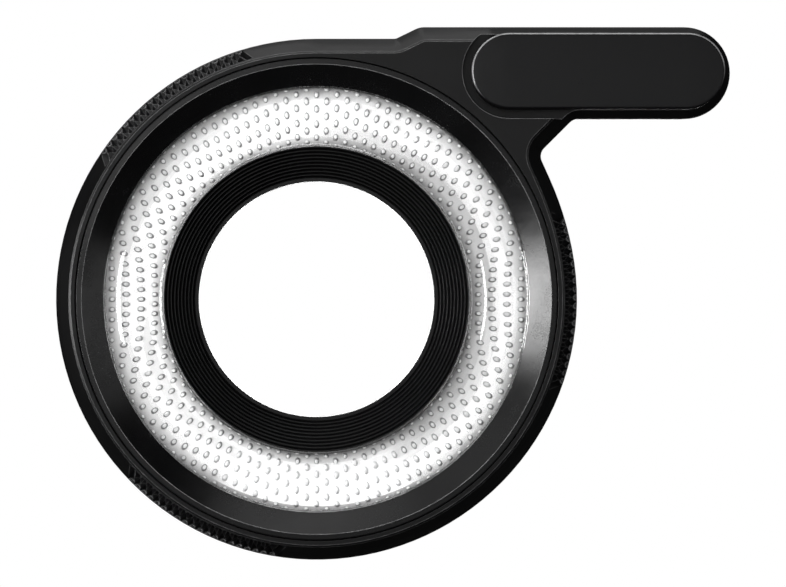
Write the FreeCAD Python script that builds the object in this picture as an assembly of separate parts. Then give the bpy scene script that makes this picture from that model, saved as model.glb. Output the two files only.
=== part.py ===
import FreeCAD, Part
import math
import os
from FreeCAD import Vector

# Clip-on light guide for a compact camera: a ring round the lens and an arm over the camera's lamp.
# Millimetres. The front faces -Y, +X points right and +Z up in the front view.
# The origin is the centre of the lens register bore, on the shoulder that its rear mouth opens from.
# A depth is counted forward from the rear rim, so a larger depth lies nearer the front.

# Outline of the housing in the front view, at its widest line
ring_radius = 24.0
arm_rise = 1.07
arm_end_radius = 4.235
arm_reach = 9.85
step_foot_x = 7.3
step_angle = 26.0
step_foot_fillet = 0.8
step_head_fillet = 1.9
notch_from_end = 10.19
notch_angle = 45.0
notch_fillet = 1.1
root_fillet = 1.06
root_angle = 24.3
root_bulge = 0.16
root_blend_offset = 6.0

# Front edge and wall of the housing
slope_depth = 3.0
face_inset = 1.38
edge_bevel = 0.13
rear_inset = 0.30
wall = 1.2
arm_rear_relief = 0.5
relief_margin = 0.3

# Front band, groove and bezel
band_width = 0.51
groove_width = 0.15
groove_depth = 0.5
rim_width = 0.47
cone_width = 1.94
cone_drop = 1.25
bezel_seat_rise = 0.24
bezel_ledge_thickness = 0.7
bezel_ledge_width = 0.91
bezel_lip_reach = 1.06

# Light ring, a half-round lens with two flanges, over the guide ring that its light comes from
dome_radius = 2.62
lens_outer_flange = 1.21
lens_inner_flange = 0.75
flange_thickness = 0.5
lens_back_drop = 0.1
flange_reach = 0.07
guide_thickness = 1.86
rim_rise = 3.05
optic_gap = 0.06

# Ribbed baffle round the open centre
baffle_gap = 0.27
baffle_width = 3.11
hole_lip = 0.26
rib_count = 10
rib_land = 0.09
rib_drop = 0.25
rib_flank = 0.06
rib_front_drop = 0.3
baffle_foot = 2.25
outer_land = 0.1
spigot_wall = 0.93
snap_lip = 0.2
snap_lip_length = 0.25

# Arm cap and its pocket
cap_inset = 0.755
cap_span = 16.21
cap_rise = 0.55
cap_edge_round = 0.25
pocket_gap = 0.83
pocket_depth = 1.37
pocket_floor_thickness = 2.34
adhesive_thickness = 0.12
adhesive_margin = 0.45

# Rear cover, lens register and bayonet
fit_gap = 0.05
bayonet_thickness = 0.7
cover_skin = 0.8
tab_room = 1.5
register_length = 1.55
floor_thickness = 0.6
barrel_wall = 1.25
tab_height = 0.95
claw_count = 3
claw_span = 40.0
claw_first_angle = 62.5
lock_notch_width = 2.0
lock_notch_depth = 0.7
bayonet_screw_offset = 0.75
spring_length = 5.0
spring_width = 0.55
spring_thickness = 0.12
spring_bow = 0.5
spring_offset = 0.2

# Felt ring, foam pads and reflector behind the light ring
felt_inset = 0.55
felt_width = 3.1
felt_thickness = 0.4
felt_recess = 0.25
pad_thickness = 0.3
pad_count = 3
pad_span = 50.0
pad_inset = 1.5
pad_width = 3.5
reflector_floor = 0.25
reflector_wall_gap = 0.1
reflector_wall = 0.3
reflector_wall_height = 1.4

# Light pipe in the arm
pipe_tip_offset = 2.15
pipe_ring_angle = 62.5
pipe_half_width = 1.4
pipe_roof_gap = 0.1
prism_half_length = 1.7
prism_gap = 0.1
cavity_ring_wall = 1.19
seal_thickness = 0.3
channel_wall = 0.3
channel_end_gap = 0.4
rib_thickness = 0.8
rib_places = [5.0, 12.5]

# Window, gasket, bumper and dot on the back of the arm
window_half = 1.95
window_thickness = 0.5
window_flange_reach = 0.35
window_flange_thickness = 0.8
gasket_width = 0.55
bumper_from_end = 9.25
bumper_radius = 1.5
dot_offset = 1.1
dot_angle = 48.6
dot_radius = 0.6
dot_sink = 0.15

# Fasteners
tip_screw_offset = 1.55
step_screw_x = 13.5
step_screw_drop = 3.07
notch_screw_offset = 0.15
notch_screw_angle = 38.1
cover_boss_radius = 1.1
screw_radius = 0.45
screw_length = 3.6
screw_head_radius = 0.85
screw_head_depth = 0.45
driver_slot_radius = 0.32
driver_slot_depth = 0.3
driver_slot_half_width = 0.08
small_screw_radius = 0.4
small_screw_length = 2.6
small_screw_head_radius = 0.55
small_screw_head_depth = 0.3

# Knurled grip patches on the wall, as start and end angles in the front view
knurl_patches = [(106.6, 145.6), (-19.3, 18.0), (223.5, 261.8)]
knurl_pitch = 0.786
knurl_diamond_length = 2.4
knurl_phase = 0.25
knurl_slope_share = 0.88
knurl_depth = 0.25
knurl_width = 0.7
knurl_rear_depth = 1.2
knurl_rim = 0.32

# How far fused lumps of one piece run into each other, and cutters past what they cut
merge = 0.15
past = 1.0
far = 60.0

# Depths that follow, stacked from the rear rim to the front
cover_plate_front = bayonet_thickness + cover_skin
register_shoulder = bayonet_thickness + tab_room
floor_rear_depth = register_shoulder + register_length
recess_depth = floor_rear_depth + felt_recess
floor_front_depth = floor_rear_depth + floor_thickness
reflector_rear_depth = floor_front_depth + pad_thickness
slab_rear_depth = reflector_rear_depth + reflector_floor
reflector_wall_front = slab_rear_depth + reflector_wall_height
flange_rear_depth = slab_rear_depth + guide_thickness
dome_base_depth = flange_rear_depth + flange_thickness
lens_back_depth = dome_base_depth - lens_back_drop
bezel_seat_depth = dome_base_depth + bezel_seat_rise
bezel_ledge_depth = bezel_seat_depth - bezel_ledge_thickness
face_depth = dome_base_depth + rim_rise
widest_depth = face_depth - slope_depth
rib_front_depth = face_depth - rib_front_drop
rib_rear_depth = floor_front_depth + baffle_foot
cap_front_depth = face_depth + cap_rise
pocket_floor_depth = face_depth - pocket_depth
cavity_roof_depth = pocket_floor_depth - pocket_floor_thickness
pipe_front_depth = cavity_roof_depth - pipe_roof_gap
channel_rear_depth = slab_rear_depth - channel_wall
window_step_depth = arm_rear_relief + window_thickness
window_front_depth = window_step_depth + window_flange_thickness
prism_entry_depth = window_front_depth + prism_gap

# Radii that follow, from the outer wall to the open centre
cavity_inset = rear_inset + wall
cover_ring_radius = ring_radius - cavity_inset - fit_gap
bore_radius = ring_radius - face_inset - band_width
cavity_ring_radius = bore_radius + cavity_ring_wall
sleeve_radius = bore_radius - optic_gap
bezel_rim_outer = bore_radius - groove_width
bezel_rim_inner = bezel_rim_outer - rim_width
dome_outer = bezel_rim_inner - cone_width - optic_gap
dome_centre_radius = dome_outer - dome_radius
dome_inner = dome_centre_radius - dome_radius
slab_outer_radius = dome_outer + lens_outer_flange
slab_inner_radius = dome_inner - lens_inner_flange
baffle_outer = dome_inner - baffle_gap
baffle_body = slab_inner_radius - fit_gap
hole_radius = baffle_outer - baffle_width
spigot_hole = hole_radius + spigot_wall + fit_gap
tab_channel_radius = sleeve_radius - barrel_wall
register_radius = tab_channel_radius - tab_height
claw_radius = register_radius + fit_gap
spring_radius = register_radius + spring_offset
bayonet_screw_radius = tab_channel_radius + bayonet_screw_offset
felt_inner_radius = spigot_hole + felt_inset
felt_outer_radius = felt_inner_radius + felt_width
pad_inner_radius = slab_inner_radius + pad_inset
pad_outer_radius = pad_inner_radius + pad_width

# Places on the arm that follow
arm_top_height = ring_radius + arm_rise
arm_axis_height = arm_top_height - arm_end_radius
arm_end_x = ring_radius + arm_reach
notch_corner_x = arm_end_x - notch_from_end
bumper_x = arm_end_x - bumper_from_end
cap_radius = arm_end_radius - cap_inset
cap_left_centre = arm_end_x - cap_span
pocket_radius = cap_radius + pocket_gap
window_flange_half = window_half + window_flange_reach
gasket_half_inner = window_half + 2 * fit_gap
gasket_half_outer = gasket_half_inner + gasket_width
slope_length = math.hypot(face_inset, slope_depth)
ring_entry = (slab_outer_radius * math.cos(math.radians(pipe_ring_angle)),
              slab_outer_radius * math.sin(math.radians(pipe_ring_angle)))
pipe_tip_x = arm_end_x - pipe_tip_offset
pipe_angle = math.degrees(math.atan2(ring_entry[1] - arm_axis_height, ring_entry[0] - pipe_tip_x))
pipe_length = math.hypot(ring_entry[0] - pipe_tip_x, ring_entry[1] - arm_axis_height)


def y_at(depth):
    """Row Y of a depth."""
    return register_shoulder - depth


def at(x, z, depth):
    return Vector(x, y_at(depth), z)


def polar(radius, angle, depth):
    a = math.radians(angle)
    return at(radius * math.cos(a), radius * math.sin(a), depth)


def polygon_face(points):
    return Part.Face(Part.makePolygon(points + [points[0]]))


def revolved(profile):
    """Ring from a closed profile of (radius, depth) points, round the lens axis."""
    face = polygon_face([at(r, 0, d) for r, d in profile])
    return Part.Solid(face.revolve(Vector(0, 0, 0), Vector(0, 1, 0), 360))


def tube(inner, outer, rear, front):
    return revolved([(inner, rear), (outer, rear), (outer, front), (inner, front)])


def disc(x, z, radius, rear, front):
    return Part.makeCylinder(radius, front - rear, at(x, z, rear), Vector(0, -1, 0))


def block(x0, x1, z0, z1, rear, front):
    corner = Vector(x0, y_at(front), z0)
    return Part.makeBox(x1 - x0, front - rear, z1 - z0, corner)


def lifted(face, front, rear):
    """Solid from a face drawn at the rear depth, up to the front depth."""
    return face.extrude(Vector(0, rear - front, 0))


def cone(x, z, radius_rear, radius_front, rear, front):
    return Part.makeCone(radius_rear, radius_front, front - rear, at(x, z, rear), Vector(0, -1, 0))


# The outline is a chain of straight lines, each held as its outward direction and its distance
# from the lens axis, joined by arcs whose centres stay put when the outline is inset.

def edge_line(direction_angle, x, z):
    """Line through a point, with its outward direction given as an angle."""
    a = math.radians(direction_angle)
    nx = math.cos(a)
    nz = math.sin(a)
    return (nx, nz, nx * x + nz * z)


def crossing(first, second, shift):
    """Point where two lines meet after both move outward by the shift."""
    a, b, c = first[0], first[1], first[2] + shift
    d, e, f = second[0], second[1], second[2] + shift
    det = a * e - b * d
    return ((c * e - b * f) / det, (a * f - c * d) / det)


class Corner:
    """A fillet between two outline lines; outward is +1 at a convex corner and -1 at a hollow one."""

    def __init__(self, first, second, radius, outward):
        self.lines = (first, second)
        self.radius = radius
        self.outward = outward
        self.centre = crossing(first, second, -radius * outward)

    def points(self, inset):
        reach = self.radius * self.outward - inset
        normals = [(n[0], n[1]) for n in self.lines]
        middle = (normals[0][0] + normals[1][0], normals[0][1] + normals[1][1])
        size = math.hypot(middle[0], middle[1])
        ways = [normals[0], (middle[0] / size, middle[1] / size), normals[1]]
        return [(self.centre[0] + reach * w[0], self.centre[1] + reach * w[1]) for w in ways]


def on_circle(centre, radius, angle):
    a = math.radians(angle)
    return (centre[0] + radius * math.cos(a), centre[1] + radius * math.sin(a))


ring_top_line = edge_line(90, 0, ring_radius)
step_line = edge_line(90 + step_angle, step_foot_x, ring_radius)
arm_top_line = edge_line(90, 0, arm_top_height)
arm_low_line = edge_line(-90, 0, arm_top_height - 2 * arm_end_radius)
notch_line = edge_line(notch_angle - 90, notch_corner_x, arm_top_height - 2 * arm_end_radius)
root_line = edge_line(root_angle, *on_circle((0, 0), ring_radius + root_bulge, root_angle))
step_foot = Corner(ring_top_line, step_line, step_foot_fillet, -1)
step_head = Corner(step_line, arm_top_line, step_head_fillet, 1)
notch_corner = Corner(arm_low_line, notch_line, notch_fillet, -1)
root_corner = Corner(notch_line, root_line, root_fillet, -1)
blend_turn = math.degrees(math.acos((root_blend_offset - root_bulge) / root_blend_offset))
blend_angle = root_angle - blend_turn
blend_centre = on_circle((0, 0), -root_blend_offset, blend_angle)


def outline(inset, depth):
    """Closed wire of the housing's outline, moved inward by the inset, at a depth."""
    ring = ring_radius - inset
    blend = ring_radius + root_blend_offset - inset
    end = arm_end_radius - inset
    end_centre = (arm_end_x, arm_axis_height)
    foot = step_foot.points(inset)
    head = step_head.points(inset)
    notch = notch_corner.points(inset)
    root = root_corner.points(inset)
    end_arc = [on_circle(end_centre, end, a) for a in (90, 0, -90)]
    blend_arc = [on_circle(blend_centre, blend, a)
                 for a in (root_angle, (root_angle + blend_angle) / 2, blend_angle)]
    top = -270
    half_way = (blend_angle + top) / 2
    lower_arc = [on_circle((0, 0), ring, a)
                 for a in (blend_angle, (blend_angle + half_way) / 2, half_way)]
    upper_arc = [on_circle((0, 0), ring, a) for a in (half_way, (half_way + top) / 2, top)]
    pieces = [[upper_arc[2], foot[0]], foot, [foot[2], head[0]], head, [head[2], end_arc[0]], end_arc,
              [end_arc[2], notch[0]], notch, [notch[2], root[0]], root, [root[2], blend_arc[0]],
              blend_arc, lower_arc, upper_arc]
    edges = []
    for piece in pieces:
        points = [at(x, z, depth) for x, z in piece]
        if len(points) == 2:
            edges.append(Part.makeLine(*points))
        else:
            edges.append(Part.Arc(*points).toShape())
    return Part.Wire(edges)


def outline_block(inset, rear, front):
    return lifted(Part.Face(outline(inset, rear)), front, rear)


def outline_loft(sections):
    """Solid through outlines given as (inset, depth)."""
    parts = []
    for lower, upper in zip(sections, sections[1:]):
        parts.append(Part.makeLoft([outline(*lower), outline(*upper)], True, True))
    return parts[0].fuse(parts[1:])


def pill(centre_left, centre_right, height, radius, rear, front):
    """Long rounded bar along X, as wide as two radii."""
    points = [(centre_left, height + radius), (centre_right, height + radius),
              (centre_right + radius, height), (centre_right, height - radius),
              (centre_left, height - radius), (centre_left - radius, height)]
    v = [at(x, z, rear) for x, z in points]
    edges = [Part.makeLine(v[0], v[1]), Part.Arc(v[1], v[2], v[3]).toShape(),
             Part.makeLine(v[3], v[4]), Part.Arc(v[4], v[5], v[0]).toShape()]
    return lifted(Part.Face(Part.Wire(edges)), front, rear)


def along_pipe(distance, side, depth):
    """Point in the pipe's own frame: distance from the prism's centre, sideways, depth."""
    a = math.radians(pipe_angle)
    x = pipe_tip_x + distance * math.cos(a) - side * math.sin(a)
    z = arm_axis_height + distance * math.sin(a) + side * math.cos(a)
    return at(x, z, depth)


def pipe_prism(profile, half_width):
    """Solid from (distance, depth) points, as wide as two half widths across the pipe."""
    low = [along_pipe(u, -half_width, d) for u, d in profile]
    across = along_pipe(0, half_width, 0) - along_pipe(0, -half_width, 0)
    return polygon_face(low).extrude(across)


def pipe_bar(start, stop, half_width, rear, front):
    return pipe_prism([(start, rear), (stop, rear), (stop, front), (start, front)], half_width)


def arc_sector(inner, outer, middle_angle, span, rear, front):
    """Part of a flat ring, cut by radial planes."""
    half = span / 2
    reach = outer / math.cos(math.radians(half)) + past
    wedge = polygon_face([at(0, 0, rear), polar(reach, middle_angle - half, rear),
                          polar(reach, middle_angle + half, rear)])
    return tube(inner, outer, rear, front).common(lifted(wedge, front, rear))


def countersunk_screw(x, z, rear, shank, length, head, head_depth):
    """Screw whose head is flush with the rear depth and whose shank points forward."""
    body = cone(x, z, head, shank, rear, rear + head_depth)
    body = body.fuse(disc(x, z, shank, rear + head_depth, rear + length))
    long = driver_slot_radius
    half = driver_slot_half_width
    bottom = rear + driver_slot_depth
    slot = block(x - long, x + long, z - half, z + half, rear - past, bottom)
    across = block(x - half, x + half, z - long, z + long, rear - past, bottom)
    return body.cut([slot, across]).removeSplitter()


def screw_space(x, z, rear, shank, length, head, head_depth):
    """Hole that a countersunk screw fills: the same sizes, opened past the rear."""
    sink = cone(x, z, head, shank, rear, rear + head_depth)
    mouth = disc(x, z, head, rear - past, rear)
    return sink.fuse([mouth, disc(x, z, shank, rear + head_depth, rear + length)])


def cover_screw_places():
    return [(step_screw_x, arm_top_height - step_screw_drop),
            on_circle((0, 0), ring_radius + notch_screw_offset, notch_screw_angle),
            (arm_end_x + tip_screw_offset, arm_axis_height)]


def cover_screw_size():
    return (arm_rear_relief, screw_radius, screw_length, screw_head_radius, screw_head_depth)


def bayonet_screw_size():
    return (0, small_screw_radius, small_screw_length, small_screw_head_radius, small_screw_head_depth)


def bayonet_screw_places():
    step = 360 / claw_count
    angles = [claw_first_angle + step * (i + 0.5) for i in range(claw_count)]
    return [on_circle((0, 0), bayonet_screw_radius, a) for a in angles]


def groove(start, end):
    """V-shaped cutter between two (radius, angle, depth) points on the wall."""
    first = polar(*start)
    run = polar(*end) - first
    way = Vector(run)
    way.normalize()
    a = math.radians((start[1] + end[1]) / 2)
    radial = Vector(math.cos(a), 0, math.sin(a))
    out = radial - way * radial.dot(way)
    out.normalize()
    side = way.cross(out)
    rise = knurl_depth
    half = knurl_width / 2 * (knurl_depth + rise) / knurl_depth
    corners = [first - out * knurl_depth, first + out * rise + side * half,
               first + out * rise - side * half]
    return polygon_face(corners).extrude(run)


def knurl_cutters(low_angle, high_angle):
    """Two crossing sets of grooves on the sloping wall and the side wall, short of the widest line."""
    pitch_angle = math.degrees(knurl_pitch / ring_radius)
    count = round((high_angle - low_angle) / pitch_angle)
    turn_per_length = pitch_angle / knurl_diamond_length
    lean = slope_length / slope_depth
    slope_ratio = face_inset / slope_depth
    side_ratio = rear_inset / widest_depth
    front_end = widest_depth + slope_depth * knurl_slope_share
    sets = []
    for way in (1, -1):
        for start, stop, ratio, stretch in (
                (widest_depth + knurl_rim, front_end, slope_ratio, lean),
                (widest_depth - knurl_rim, knurl_rear_depth, -side_ratio, 1)):
            cutters = []
            for i in range(count):
                angle = low_angle + (i + 0.5 - way * knurl_phase) * pitch_angle
                ends = []
                for depth in (start, stop):
                    rise = depth - widest_depth
                    turn = way * turn_per_length * stretch * rise
                    ends.append((ring_radius - rise * ratio, angle + turn, depth))
                cutters.append(groove(*ends))
            sets.append(Part.makeCompound(cutters))
    return sets


def arm_relief():
    """Cutter that lowers the arm's back below the rim round the lens."""
    slab = block(-far, far, -far, far, -past, arm_rear_relief)
    return slab.cut(disc(0, 0, ring_radius + relief_margin, -2 * past, widest_depth))


def make_front_housing():
    slope = face_inset / slope_depth
    shell = outline_loft([(rear_inset, 0), (0, widest_depth),
                          (face_inset - slope * edge_bevel, face_depth - edge_bevel),
                          (face_inset + edge_bevel, face_depth)])
    cavity = outline_block(cavity_inset, cover_plate_front, cavity_roof_depth)
    cavity = cavity.cut(disc(0, 0, cavity_ring_radius, 0, face_depth))
    bosses = [disc(x, z, cover_boss_radius, cover_plate_front, cavity_roof_depth)
              for x, z in cover_screw_places()]
    cavity = cavity.cut(bosses)
    pocket = pill(cap_left_centre, far, arm_axis_height, pocket_radius, pocket_floor_depth, far)
    cuts = [disc(0, 0, bore_radius, -past, far), outline_block(cavity_inset, -past, cover_plate_front),
            cavity, pocket, arm_relief()]
    cuts += [screw_space(x, z, *cover_screw_size()) for x, z in cover_screw_places()]
    cuts.append(pipe_bar(prism_half_length, pipe_length + pipe_half_width,
                         pipe_half_width + seal_thickness, channel_rear_depth,
                         pipe_front_depth + seal_thickness))
    shell = shell.cut(cuts)
    shell = shell.fuse(tube(bore_radius - bezel_ledge_width, bore_radius + optic_gap,
                            bezel_ledge_depth, bezel_seat_depth))
    for low, high in knurl_patches:
        for cutters in knurl_cutters(low, high):
            shell = shell.cut(cutters)
    return shell


def make_bezel_ring():
    seat = bore_radius - fit_gap
    lip_inner = dome_outer + optic_gap
    lip_outer = bore_radius - bezel_lip_reach
    groove_foot = face_depth - groove_depth
    return revolved([(bezel_rim_inner, face_depth), (bezel_rim_outer, face_depth),
                     (bezel_rim_outer, groove_foot), (seat, groove_foot), (seat, bezel_seat_depth),
                     (lip_outer, bezel_seat_depth), (lip_outer, dome_base_depth),
                     (lip_inner, dome_base_depth), (lip_inner, face_depth - cone_drop)])


def make_light_ring():
    inner = dome_inner + flange_reach
    outer = dome_outer - flange_reach
    base = revolved([(slab_inner_radius, dome_base_depth), (slab_outer_radius, dome_base_depth),
                     (slab_outer_radius, flange_rear_depth), (outer, flange_rear_depth),
                     (outer, lens_back_depth), (inner, lens_back_depth),
                     (inner, flange_rear_depth), (slab_inner_radius, flange_rear_depth)])
    torus = Part.makeTorus(dome_centre_radius, dome_radius, at(0, 0, dome_base_depth), Vector(0, 1, 0))
    front_half = tube(dome_inner - past, dome_outer + past, dome_base_depth, far)
    return base.fuse(torus.common(front_half)).removeSplitter()


def make_guide_ring():
    """Stepped ring under the lens; the light pipe ends at its rim."""
    inner = dome_inner + flange_reach + fit_gap
    outer = dome_outer - flange_reach - fit_gap
    shoulder = flange_rear_depth - fit_gap
    land = lens_back_depth - fit_gap
    return revolved([(slab_inner_radius, slab_rear_depth), (slab_outer_radius, slab_rear_depth),
                     (slab_outer_radius, shoulder), (outer, shoulder), (outer, land),
                     (inner, land), (inner, shoulder), (slab_inner_radius, shoulder)])


def make_ribbed_baffle():
    land_outer = baffle_outer - outer_land
    first = hole_radius + hole_lip
    pitch = (land_outer - first) / (rib_count - 1)
    rise = (rib_front_depth - rib_rear_depth) / (rib_count - 1)
    stairs = [(hole_radius, rib_rear_depth)]
    for i in range(rib_count - 1):
        radius = first + i * pitch
        depth = rib_rear_depth + i * rise
        stairs += [(radius, depth), (radius + rib_land, depth),
                   (radius + rib_land + rib_flank, depth - rib_drop)]
    stairs += [(land_outer, rib_front_depth), (baffle_outer, rib_front_depth)]
    spigot = hole_radius + spigot_wall
    lip_front = recess_depth
    lip_rear = recess_depth - snap_lip_length
    foot = [(baffle_outer, dome_base_depth), (baffle_body, dome_base_depth),
            (baffle_body, floor_front_depth), (spigot, floor_front_depth), (spigot, lip_front),
            (spigot + fit_gap + snap_lip, lip_front), (spigot + fit_gap, lip_rear),
            (hole_radius, lip_rear)]
    return revolved(stairs + foot)


def make_arm_cap():
    rear = pocket_floor_depth
    cap = pill(cap_left_centre, arm_end_x, arm_axis_height, cap_radius, rear, cap_front_depth)
    front_edges = cap.Faces[-1].Edges
    cap = cap.makeFillet(cap_edge_round, front_edges)
    recess = pill(cap_left_centre, arm_end_x, arm_axis_height, cap_radius - adhesive_margin,
                  rear, rear + adhesive_thickness)
    return cap.cut(recess)


def make_cap_adhesive():
    return pill(cap_left_centre, arm_end_x, arm_axis_height, cap_radius - adhesive_margin - fit_gap,
                pocket_floor_depth, pocket_floor_depth + adhesive_thickness)


def make_light_pipe():
    near = -prism_half_length
    far_side = prism_half_length
    mirror_foot = pipe_front_depth - 2 * prism_half_length
    profile = [(pipe_length + pipe_half_width, slab_rear_depth), (far_side, slab_rear_depth),
               (far_side, prism_entry_depth), (near, prism_entry_depth), (near, mirror_foot),
               (far_side, pipe_front_depth), (pipe_length + pipe_half_width, pipe_front_depth)]
    pipe = pipe_prism(profile, pipe_half_width)
    return pipe.cut(disc(0, 0, slab_outer_radius + fit_gap, 0, face_depth))


def make_pipe_reflector():
    inner = pipe_half_width + fit_gap
    start = prism_half_length + channel_end_gap
    outer = pipe_bar(start, pipe_length, inner + channel_wall, channel_rear_depth, pipe_front_depth)
    hollow = pipe_bar(0, far, inner, slab_rear_depth, far)
    ring = disc(0, 0, cavity_ring_radius + fit_gap, 0, face_depth)
    return outer.cut([hollow, ring])


def make_pipe_seal():
    outer = pipe_bar(0, pipe_length + pipe_half_width, pipe_half_width + seal_thickness,
                     channel_rear_depth, pipe_front_depth + seal_thickness)
    hollow = pipe_bar(-past, far, pipe_half_width, slab_rear_depth, pipe_front_depth)
    sleeve = tube(bore_radius, cavity_ring_radius, 0, face_depth)
    return outer.cut(hollow).common(sleeve)


def make_ring_reflector():
    inner = slab_outer_radius + reflector_wall_gap
    tray = revolved([(slab_inner_radius, reflector_rear_depth),
                     (inner + reflector_wall, reflector_rear_depth),
                     (inner + reflector_wall, reflector_wall_front), (inner, reflector_wall_front),
                     (inner, slab_rear_depth), (slab_inner_radius, slab_rear_depth)])
    entry = pipe_bar(0, pipe_length + pipe_half_width, pipe_half_width + reflector_wall_gap,
                     slab_rear_depth, face_depth)
    return tray.cut(entry)


def make_ring_foam_pads():
    step = 360 / pad_count
    pads = [arc_sector(pad_inner_radius, pad_outer_radius, claw_first_angle + i * step, pad_span,
                       floor_front_depth, reflector_rear_depth) for i in range(pad_count)]
    return Part.makeCompound(pads)


def make_rear_cover():
    plate = outline_block(cavity_inset + fit_gap, 0, cover_plate_front)
    seat = disc(0, 0, cover_ring_radius, -past, bayonet_thickness)
    plate = plate.cut([seat, arm_relief(), disc(0, 0, tab_channel_radius, -past, widest_depth)])
    barrel = revolved([(tab_channel_radius, bayonet_thickness),
                       (sleeve_radius, bayonet_thickness), (sleeve_radius, floor_front_depth),
                       (spigot_hole, floor_front_depth), (spigot_hole, recess_depth),
                       (felt_outer_radius + fit_gap, recess_depth),
                       (felt_outer_radius + fit_gap, floor_rear_depth),
                       (register_radius, floor_rear_depth), (register_radius, register_shoulder),
                       (tab_channel_radius, register_shoulder)])
    ribs = [pipe_bar(u, u + rib_thickness, pipe_half_width + channel_wall,
                     cover_plate_front - merge, channel_rear_depth) for u in rib_places]
    cover = plate.fuse([barrel] + ribs)
    cuts = [screw_space(x, z, *cover_screw_size()) for x, z in cover_screw_places()]
    cuts += [screw_space(x, z, *bayonet_screw_size()) for x, z in bayonet_screw_places()]
    cuts.append(window_block(window_half + fit_gap, -past, window_step_depth))
    cuts.append(window_block(window_flange_half + fit_gap, window_step_depth,
                             cover_plate_front + past))
    cuts.append(disc(*dot_place(), dot_radius, 0, arm_rear_relief + dot_sink))
    return cover.cut(cuts).removeSplitter()


def window_block(half, rear, front):
    return block(pipe_tip_x - half, pipe_tip_x + half, arm_axis_height - half,
                 arm_axis_height + half, rear, front)


def make_entry_window():
    glass = window_block(window_half, arm_rear_relief, window_step_depth)
    flange = window_block(window_flange_half, window_step_depth, window_front_depth)
    return glass.fuse(flange).removeSplitter()


def make_window_gasket():
    frame = window_block(gasket_half_outer, 0, arm_rear_relief)
    return frame.cut(window_block(gasket_half_inner, -past, face_depth))


def make_bayonet_ring():
    plate = tube(tab_channel_radius, cover_ring_radius - fit_gap, 0, bayonet_thickness)
    claws = []
    for i in range(claw_count):
        angle = claw_first_angle + i * 360 / claw_count
        claws.append(arc_sector(claw_radius, tab_channel_radius + merge, angle, claw_span,
                                0, bayonet_thickness))
    plate = plate.fuse(claws)
    notch = block(-lock_notch_width / 2, lock_notch_width / 2, tab_channel_radius - past,
                  tab_channel_radius + lock_notch_depth, -past, face_depth)
    notch.rotate(Vector(0, 0, 0), Vector(0, 1, 0), 90 - lock_notch_angle())
    holes = [screw_space(x, z, *bayonet_screw_size()) for x, z in bayonet_screw_places()]
    return plate.cut(holes + [notch]).removeSplitter()


def lock_notch_angle():
    """Between the end of the last claw and the screw after it."""
    return claw_first_angle - 360 / claw_count + claw_span / 2 + claw_span / 4


def make_bayonet_screws():
    return Part.makeCompound([countersunk_screw(x, z, *bayonet_screw_size())
                              for x, z in bayonet_screw_places()])


def make_cover_screws():
    return Part.makeCompound([countersunk_screw(x, z, *cover_screw_size())
                              for x, z in cover_screw_places()])


def make_bayonet_springs():
    """Bowed strips that stand on the register shoulder under the claws."""
    half = spring_length / 2
    high = register_shoulder - spring_bow
    springs = []
    for i in range(claw_count):
        foot = [at(half, spring_radius, register_shoulder), at(-half, spring_radius, register_shoulder)]
        crown = at(0, spring_radius, high)
        inner_foot = [at(half - spring_thickness, spring_radius, register_shoulder),
                      at(-half + spring_thickness, spring_radius, register_shoulder)]
        inner_crown = at(0, spring_radius, high + spring_thickness)
        edges = [Part.Arc(foot[0], crown, foot[1]).toShape(), Part.makeLine(foot[1], inner_foot[1]),
                 Part.Arc(inner_foot[1], inner_crown, inner_foot[0]).toShape(),
                 Part.makeLine(inner_foot[0], foot[0])]
        strip = Part.Face(Part.Wire(edges)).extrude(Vector(0, 0, spring_width))
        turn = 90 - claw_first_angle - i * 360 / claw_count
        strip.rotate(Vector(0, 0, 0), Vector(0, 1, 0), turn)
        springs.append(strip)
    return Part.makeCompound(springs)


def make_lens_felt_ring():
    return tube(felt_inner_radius, felt_outer_radius, recess_depth - felt_thickness, recess_depth)


def make_arm_bumper():
    return disc(bumper_x, arm_axis_height, bumper_radius, 0, arm_rear_relief)


def dot_place():
    return on_circle((0, 0), ring_radius + dot_offset, dot_angle)


def make_index_dot():
    return disc(*dot_place(), dot_radius - fit_gap, arm_rear_relief, arm_rear_relief + dot_sink)


nodes = {
    "front_housing": make_front_housing,
    "bezel_ring": make_bezel_ring,
    "light_ring": make_light_ring,
    "guide_ring": make_guide_ring,
    "ribbed_baffle": make_ribbed_baffle,
    "arm_cap": make_arm_cap,
    "cap_adhesive": make_cap_adhesive,
    "light_pipe": make_light_pipe,
    "pipe_reflector": make_pipe_reflector,
    "pipe_seal": make_pipe_seal,
    "ring_reflector": make_ring_reflector,
    "ring_foam_pads": make_ring_foam_pads,
    "rear_cover": make_rear_cover,
    "entry_window": make_entry_window,
    "window_gasket": make_window_gasket,
    "bayonet_ring": make_bayonet_ring,
    "bayonet_screws": make_bayonet_screws,
    "bayonet_springs": make_bayonet_springs,
    "cover_screws": make_cover_screws,
    "lens_felt_ring": make_lens_felt_ring,
    "arm_bumper": make_arm_bumper,
    "index_dot": make_index_dot,
}

os.makedirs("parts", exist_ok=True)
for name, make in nodes.items():
    shape = make()
    shape.exportStep("parts/" + name + ".step")
    print(name, len(shape.Solids), round(shape.Volume, 2), shape.isValid())
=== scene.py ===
import math
import random

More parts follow.
